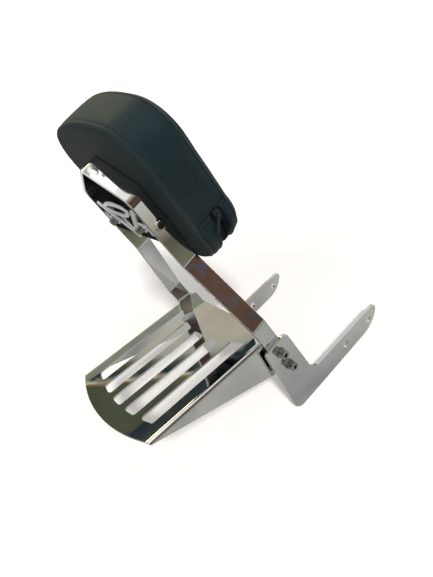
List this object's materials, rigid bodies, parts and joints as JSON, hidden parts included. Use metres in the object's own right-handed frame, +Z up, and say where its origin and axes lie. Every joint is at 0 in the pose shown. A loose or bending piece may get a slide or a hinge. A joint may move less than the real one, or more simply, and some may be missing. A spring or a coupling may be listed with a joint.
{
  "type": "sissy bar",
  "caption": "Motorcycle passenger backrest: chromed flat-bar hoop with a leather pad, a slotted folded luggage rack and side brackets whose forward arms bolt to the mudguard struts.",
  "frame": {"origin": "under the middle of the bounding box, level with the brackets' lowest point", "axes": "+X to the rider's right, +Y forward along the level arms, +Z up"},
  "size_m": [0.2582, 0.4336, 0.5045],
  "materials": {
    "chrome": "polished",
    "steel": "bright zinc",
    "black_steel": "black oxide",
    "satin_plate": "satin",
    "leather": "soft grain, low sheen",
    "welt": "soft grain",
    "zip_cloth": "woven",
    "zip_plastic": "satin",
    "zip_metal": "black enamel"
  },
  "bodies": {
    "root": {"hoop_bar": "chrome", "rack": "chrome", "right_bracket": "chrome", "left_bracket": "chrome", "bracket_screws": "steel", "bracket_lock_washers": "steel", "bracket_washers": "steel", "bracket_back_washers": "steel", "bracket_nuts": "steel", "side_screws": "black_steel", "side_cup_washers": "chrome", "side_nuts": "steel", "scroll_plate": "satin_plate", "pad_screws": "steel", "pad_washers": "steel", "pad_spacers": "steel", "pad_inserts": "steel", "pad_board": "leather", "pad_cushion": "leather", "rear_piping": "welt", "front_piping": "welt", "zip_tape": "zip_cloth", "zip_teeth": "zip_plastic", "zip_slider": "zip_metal", "zip_pull": "zip_metal"}
  },
  "joints": []
}
